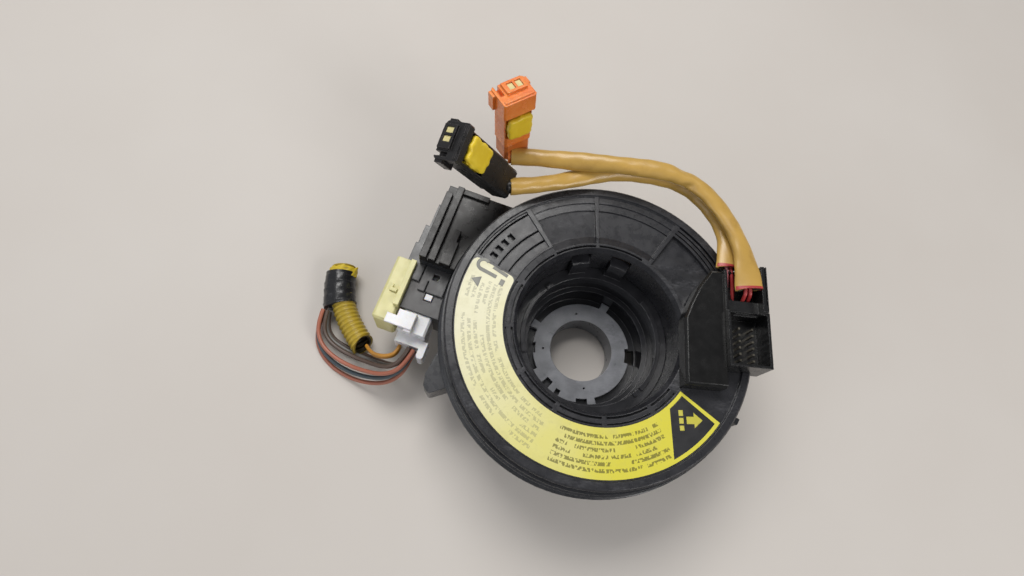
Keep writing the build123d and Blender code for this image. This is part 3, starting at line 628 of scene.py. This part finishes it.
# ------------------------------------------------------------------ airbag leads
UPPER_LEAD = [
    (50.0, 11.8, 52.0), (50.2, 19.0, 52.3), (49.3, 27.0, 52.4), (46.4, 35.6, 52.7),
    (41.6, 44.2, 53.1), (34.6, 51.2, 53.6), (25.6, 55.2, 54.0), (15.8, 56.6, 53.8),
    (5.8, 57.8, 53.0), (-4.2, 59.0, 51.7), (-13.6, 60.2, 50.4), (-22.0, 61.2, 49.4),
    (-28.0, 61.6, 48.95), (-31.0, 61.7, 48.75)]
LOWER_LEAD = [
    (45.2, 20.4, 49.3), (46.6, 28.0, 48.8), (46.2, 36.4, 47.9), (42.8, 45.0, 47.2),
    (36.8, 52.0, 46.9), (28.6, 56.6, 46.8), (18.4, 58.6, 46.8), (7.6, 58.2, 47.1),
    (-2.8, 56.0, 47.4), (-11.8, 53.2, 47.8), (-20.4, 51.0, 48.2), (-28.2, 49.8, 48.5),
    (-31.4, 49.4, 48.65)]
SLEEVE_HALF_WIDTH = 3.25
SLEEVE_HALF_HEIGHT = 2.40
LINING = 0.84                # size of the mouth's inside against its outside
MOUTH_DEPTH = 9.0            # how far the open mouth is hollow
HEM_REACH = 4.6              # the red hem is this near to the mouth's middle
CORE_SPACING = 1.9
CORE_RADIUS = 0.65


def sleeve_section(walked, total, phase):
    """Half width, half height and roll of the sleeve, and how far its mouth opens it."""
    opening = bump_at(walked, 0.0, 15.0)
    collar = bump_at(walked, total, 9.0)
    sway = math.sin(0.23 * walked + phase)
    wide = SLEEVE_HALF_WIDTH + 1.35 * opening + 0.05 * collar + 0.16 * sway
    thin = SLEEVE_HALF_HEIGHT - 0.85 * opening + 0.50 * collar - 0.12 * sway
    roll = 0.35 * math.sin(0.055 * walked + phase) - 0.30 * opening
    return wide, thin, roll, opening


def dented(walked, turn, creases):
    """Share of its size that the sleeve keeps; a crease is (distance, angle, depth, width)."""
    share = 1.0
    for middle, at, depth, width in creases:
        off = math.atan2(math.sin(turn - at), math.cos(turn - at))
        share -= depth * bump_at(walked + 1.4 * math.sin(turn), middle, width) * \
            bump_at(off, 0.0, 0.75)
    return share


def soft_sleeve(name, route, creases, phase):
    """Flattened soft sleeve: wide open mouth at the wheel socket, dents where it bends."""
    line = route_line(route, 26)
    walks = distances(line)
    around = 40
    verts, lining = [], []
    for (here, across, over), walked in zip(frames_along(line), walks):
        wide, thin, roll, opening = sleeve_section(walked, walks[-1], phase)
        c, d = math.cos(roll), math.sin(roll)
        ahead = across.cross(over)
        for turn in turns(around):
            ripple = 1 + 0.018 * math.sin(3 * turn + 0.8 * walked + phase)
            dent = dented(walked, turn, creases)
            side = wide * math.cos(turn) * dent * ripple
            rise = thin * math.sin(turn) * dent * ripple
            lean = 1.5 * opening * (0.5 - 0.5 * math.cos(turn)) if walked == 0 else 0.0
            shift = across * (side * c - rise * d) + over * (side * d + rise * c)
            verts.append(here + shift + ahead * lean)
            lining.append(here + shift * LINING + ahead * lean)
    faces = tube_faces(0, len(line), around)
    hollow = sum(walked <= MOUTH_DEPTH for walked in walks)
    inner = len(verts)
    verts += lining[:hollow * around]
    faces += ring_faces(0, inner, around, True)
    faces += tube_faces(inner, hollow, around, True)
    faces.append(ring_cap(inner + (hollow - 1) * around, around))
    faces.append(ring_cap(inner - around, around))
    obj = piece(name + "_sleeve", verts, faces, "sheath", "rotor", smooth=True)
    obj.data.materials.append(LOOKS["red"])
    # the third material is painted shade: a dark copy of the sleeve's colour for the hollow of
    # the open mouth
    obj.data.materials.append(LOOKS["inside"])
    for face in obj.data.polygons:
        centre = sum((Vector(obj.data.vertices[v].co) for v in face.vertices), Vector()) / \
            len(face.vertices) / MM
        at_mouth = face.index < 3 * around and centre.z > line[0].z - 0.6
        # lining faces take the painted shade material
        if all(v >= inner for v in face.vertices) and len(face.vertices) == 4:
            face.material_index = 2
        elif at_mouth and (centre - line[0]).length < HEM_REACH:
            face.material_index = 1
    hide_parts(name)
    return obj, line


def mouth_wires(name, line, target, looks):
    """Short insulated wires out of a sleeve's mouth and down into the wheel socket."""
    frames = frames_along(line[:40])
    back = frames[30][0]
    across = frames[30][1]
    here = frames[0][0]
    down = Vector(target)
    made = []
    for index, look in enumerate(looks):
        side = (index - (len(looks) - 1) / 2) * CORE_SPACING
        points = [back + across * side * 0.5, here + across * side * 0.8,
                  here * 0.45 + down * 0.55 + across * side * 1.2,
                  down + across * side * 1.3]
        made.append(wire(f"{name}_core_{index + 1}", points, CORE_RADIUS, look, "rotor"))
    return made


for name, route, plug, creases, phase, target, looks in (
        ("airbag_lead_upper", UPPER_LEAD, "orange",
         ((46.0, 0.4, 0.30, 2.2), (50.5, 2.2, 0.26, 2.6), (31.0, 1.2, 0.14, 3.0),
          (68.0, 2.0, 0.12, 5.0)), 0.4, (50.2, 8.0, 45.6), ("red", "red")),
        ("airbag_lead_lower", LOWER_LEAD, "black",
         ((16.0, 2.6, 0.22, 2.4), (42.0, 1.0, 0.16, 3.5), (84.0, 1.6, 0.12, 4.0)), 2.1,
         (45.6, 10.4, 45.4), ("red", "pink"))):
    lead, line = soft_sleeve(name, route, creases, phase)
    cores = mouth_wires(name, line, target, looks)

# ------------------------------------------------------------------ harness
HARNESS = [
    (-64.3, -3.75, 21.5), (-66.3, -7.6, 20.9), (-69.6, -10.4, 17.7), (-74.4, -10.9, 12.7),
    (-80.9, -9.0, 7.2), (-88.0, -6.2, 3.9), (-94.8, -2.4, 2.8), (-99.8, 2.8, 2.8),
    (-101.3, 9.4, 3.6), (-99.5, 15.2, 4.5)]
HARNESS_WIDTH = 1.6
# each wire's shift sideways and upward, at its ends and more between them
HARNESS_SHIFTS = [
    (-0.9, -1.8, -5.2, -1.5), (0.9, -1.8, 3.5, -1.5), (-0.9, 0.0, -3.5, -0.3),
    (0.9, 0.0, 1.8, -0.3), (-0.9, 1.8, -1.8, 1.0), (0.9, 1.8, 0.1, 1.0)]
SENSOR = [
    (-68.95, -1.95, 18.6), (-69.9, -4.6, 18.9), (-72.6, -5.8, 18.4), (-76.4, -5.4, 16.2),
    (-80.2, -3.0, 11.8), (-82.1, 0.0, 7.4)]
SENSOR_WIDTH = 1.4
CONDUIT = [
    (-94.3, 33.4, 5.1), (-94.3, 24.5, 5.1), (-92.6, 15.6, 5.1), (-88.6, 7.4, 5.1),
    (-83.5, 0.1, 5.1)]
CONDUIT_CORE = 4.02          # radius between the ridges
CONDUIT_WALL = 0.75
RIDGE_HEIGHT = 0.62
RIDGE_PITCH = 1.75
CONDUIT_SLANT = 3.4          # how much longer one side of the cut end is
TAPE = [(-94.3, 30.6, 5.1), (-94.3, 23.5, 5.1), (-92.95, 17.43, 5.1)]
TAPE_LENGTH = 13.8
TAPE_PITCH = 2.6             # each turn of the tape laps the last by this much
TAPE_LIFT = 0.22
TAPE_HALF_WIDTH = 5.7
TAPE_HALF_HEIGHT = 5.05
TAPE_HOLE = 4.7              # radius of the hole in the roll's ends
CLOTH_AXIS = (-94.3, 5.1)    # x and z of the cloth end's middle
CLOTH_START = 28.9
CLOTH_LENGTH = 3.75
CLOTH_RADIUS = 4.75

harness_wires = []
for index, shift in enumerate(HARNESS_SHIFTS):
    name = f"harness_wire_{index + 1}"
    route = offset_route(HARNESS, *shift)
    lead = wire(name + "_lead", route, HARNESS_WIDTH / 2, NODE_LOOKS[name], "stator")
    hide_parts(name)
    harness_wires.append((lead, route))
for index, rise in enumerate((-0.85, 0.85)):
    name = f"sensor_wire_{index + 1}"
    lead = wire(name + "_lead", offset_route(SENSOR, 0, rise), SENSOR_WIDTH / 2,
                NODE_LOOKS[name], "stator")
    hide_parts(name)


def make_conduit():
    """Corrugated tube, hollow, and cut on a slant at its lower end."""
    line = route_line(CONDUIT, 60)
    frames = frames_along(line)
    walks = distances(line)
    around = 40
    verts = []
    for wall in (0.0, CONDUIT_WALL):
        for (here, across, over), walked in zip(frames, walks):
            ahead = across.cross(over)
            wave = 0.5 + 0.5 * math.cos(FULL_TURN * walked / RIDGE_PITCH)
            radius = CONDUIT_CORE + RIDGE_HEIGHT * wave ** 0.7 - wall
            for turn in turns(around):
                cut = walks[-1] - CONDUIT_SLANT * (0.5 + 0.5 * math.sin(turn + 0.5)) ** 1.2
                back = max(0.0, walked - cut)
                outward = across * math.cos(turn) + over * math.sin(turn)
                verts.append(here - ahead * back + outward * radius)
    rings = len(line)
    inner = rings * around
    last = inner - around
    faces = tube_faces(0, rings, around) + tube_faces(inner, rings, around, True)
    faces += ring_faces(last, inner + last, around) + ring_faces(0, inner, around, True)
    obj = piece("conduit_ridges", verts, faces, "conduit", "stator", smooth=True)
    # the inner wall takes the dark inside material: painted shade in the tube's hollow
    obj.data.materials.append(LOOKS["inside"])
    for face in obj.data.polygons:
        if all(v >= inner for v in face.vertices):
            face.material_index = 1
    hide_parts("harness_conduit")
    return obj


def make_tape():
    """Vinyl tape wound over the conduit and wires, each turn lapping the last."""
    line = route_line(TAPE, 90)
    frames = frames_along(line)
    around = 56
    verts = []
    for (here, across, over), walked in zip(frames, distances(line)):
        share = walked / TAPE_LENGTH           # the roll widens towards the wires
        wide = TAPE_HALF_WIDTH + 0.55 * share
        shift = 0.9 + 0.6 * share
        for step, turn in enumerate(turns(around)):
            lap = (walked / TAPE_PITCH + 0.16 * math.sin(turn + 0.5) + step / around) % 1.0
            lift = TAPE_LIFT * (1 - lap) ** 1.4
            wobble = 0.08 * math.sin(3 * turn + walked) + \
                0.06 * math.sin(5 * turn - 1.7 * walked)
            side = wide * math.cos(turn) * (1 + 0.02 * wobble)
            rise = TAPE_HALF_HEIGHT * math.sin(turn)
            scale = 1 + (lift + wobble * 0.5) / 6.0
            verts.append(here + across * (side * scale - shift) + over * rise * scale)
    inner = len(verts)
    for here, across, over in (frames[-1], frames[0]):
        for turn in turns(around):
            outward = across * math.cos(turn) + over * math.sin(turn)
            verts.append(here + outward * TAPE_HOLE)
    faces = tube_faces(0, len(line), around)
    faces += ring_faces(inner - around, inner, around)
    faces += ring_faces(0, inner + around, around, True)
    obj = piece("tape_wrap", verts, faces, "tape", "stator", smooth=True)
    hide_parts("harness_tape")
    return obj


def make_cloth_end():
    """Yellow cloth tape folded under the vinyl, ragged at its end."""
    around, rows = 60, 9
    middle_x, middle_z = CLOTH_AXIS
    verts = []
    for row in range(rows):
        share = row / (rows - 1)
        for turn in turns(around):
            ragged = 0.55 * math.sin(5 * turn + 1.0) + 0.35 * math.sin(9 * turn) + \
                0.25 * math.sin(17 * turn + 2.0)
            flare = CLOTH_RADIUS + 0.35 * share + 0.28 * share * math.sin(4 * turn + 0.6) + \
                0.16 * math.sin(11 * turn + 5 * share)
            verts.append((middle_x + 1.06 * flare * math.cos(turn),
                          CLOTH_START + share * (CLOTH_LENGTH + 0.55 * ragged),
                          middle_z + 0.92 * flare * math.sin(turn)))
    inner = len(verts)
    mouth = verts[-around:]
    for depth, size in ((0.0, 0.84), (1.4, 0.80)):
        verts += [(middle_x + (x - middle_x) * size, y - depth - 0.1,
                   middle_z + (z - middle_z) * size) for x, y, z in mouth]
    faces = tube_faces(0, rows + 2, around)
    faces.append(ring_cap(inner + around, around))
    return piece("tape_cloth_end", verts, faces, "cloth", "stator", smooth=True)


bundle = [make_conduit(), make_tape(), make_cloth_end()]
for index, (lead, route) in enumerate(harness_wires):
    line_length(route_line(route)) * MM

# ------------------------------------------------------------------ floor, light, camera
FLOOR_LEVEL = -0.0006
FLOOR_REACH = 3.0
WORLD_LEFT, WORLD_RIGHT = 0.38, 0.12     # the sky is brighter on the left
AIM = (0, 0, 0.03)
FOCAL_PIXELS, PICTURE_WIDTH = 600.0, 1024.0

floor_mesh = bpy.data.meshes.new("floor")
floor_mesh.from_pydata([(x * FLOOR_REACH, y * FLOOR_REACH, FLOOR_LEVEL)
                        for x, y in ((-1, -1), (1, -1), (1, 1), (-1, 1))], [], [(0, 1, 2, 3)])
floor = show("floor", floor_mesh)
paint = Graph.new("floor_paint")
clouds = paint.ramp(paint.noise(6.0, 4.0), 0.3, 0.7)
paint.shade(Base_Color=paint.mix(clouds, (0.55, 0.51, 0.472), (0.585, 0.55, 0.515)),
            Roughness=0.7)
floor_mesh.materials.append(paint.mat)

world = bpy.data.worlds.new("studio")
bpy.context.scene.world = world
world.use_nodes = True
sky = world.node_tree
split = sky.nodes.new("ShaderNodeSeparateXYZ")
sky.links.new(sky.nodes.new("ShaderNodeTexCoord").outputs["Generated"], split.inputs[0])
fade = sky.nodes.new("ShaderNodeMapRange")
sky.links.new(split.outputs["X"], fade.inputs["Value"])
for socket, value in (("From Min", -0.8), ("From Max", 0.9), ("To Min", WORLD_LEFT),
                      ("To Max", WORLD_RIGHT)):
    fade.inputs[socket].default_value = value
sky.nodes["Background"].inputs[0].default_value = (0.95, 0.97, 1.0, 1)
sky.links.new(fade.outputs["Result"], sky.nodes["Background"].inputs[1])

for name, place, size, power, tint in (
        ("key", (-0.16, 0.50, 0.86), (0.60, 0.46), 7.0, (1.0, 0.985, 0.96)),
        ("fill", (-0.65, -0.25, 0.45), (0.5, 0.5), 0.9, (0.95, 0.97, 1.0)),
        ("front", (0.55, -0.55, 0.62), (0.4, 0.4), 3.9, (1.0, 0.98, 0.96))):
    data = bpy.data.lights.new(name, "AREA")
    data.shape = "RECTANGLE"
    data.size, data.size_y = size
    data.energy = power
    data.color = tint
    lamp = show(name, data)
    lamp.location = place
    lamp.rotation_euler = (Vector(AIM) - Vector(place)).to_track_quat("-Z", "Y").to_euler()

camera_data = bpy.data.cameras.new("camera")
camera_data.sensor_width = 36.0
camera_data.lens = FOCAL_PIXELS / PICTURE_WIDTH * camera_data.sensor_width
camera_data.clip_start = 0.01
camera = show("camera", camera_data)
right = Vector((0.9951333, 0.0, 0.0985374)).normalized()
forward = Vector((0.0927303, 0.3382198, -0.9364873)).normalized()
up = right.cross(forward).normalized()
facing = Matrix((right, up, -forward)).transposed()
camera.matrix_world = Matrix.Translation((-0.0492035, -0.0562044, 0.235383)) @ facing.to_4x4()
bpy.context.scene.camera = camera

bpy.context.scene.view_settings.view_transform = "Standard"
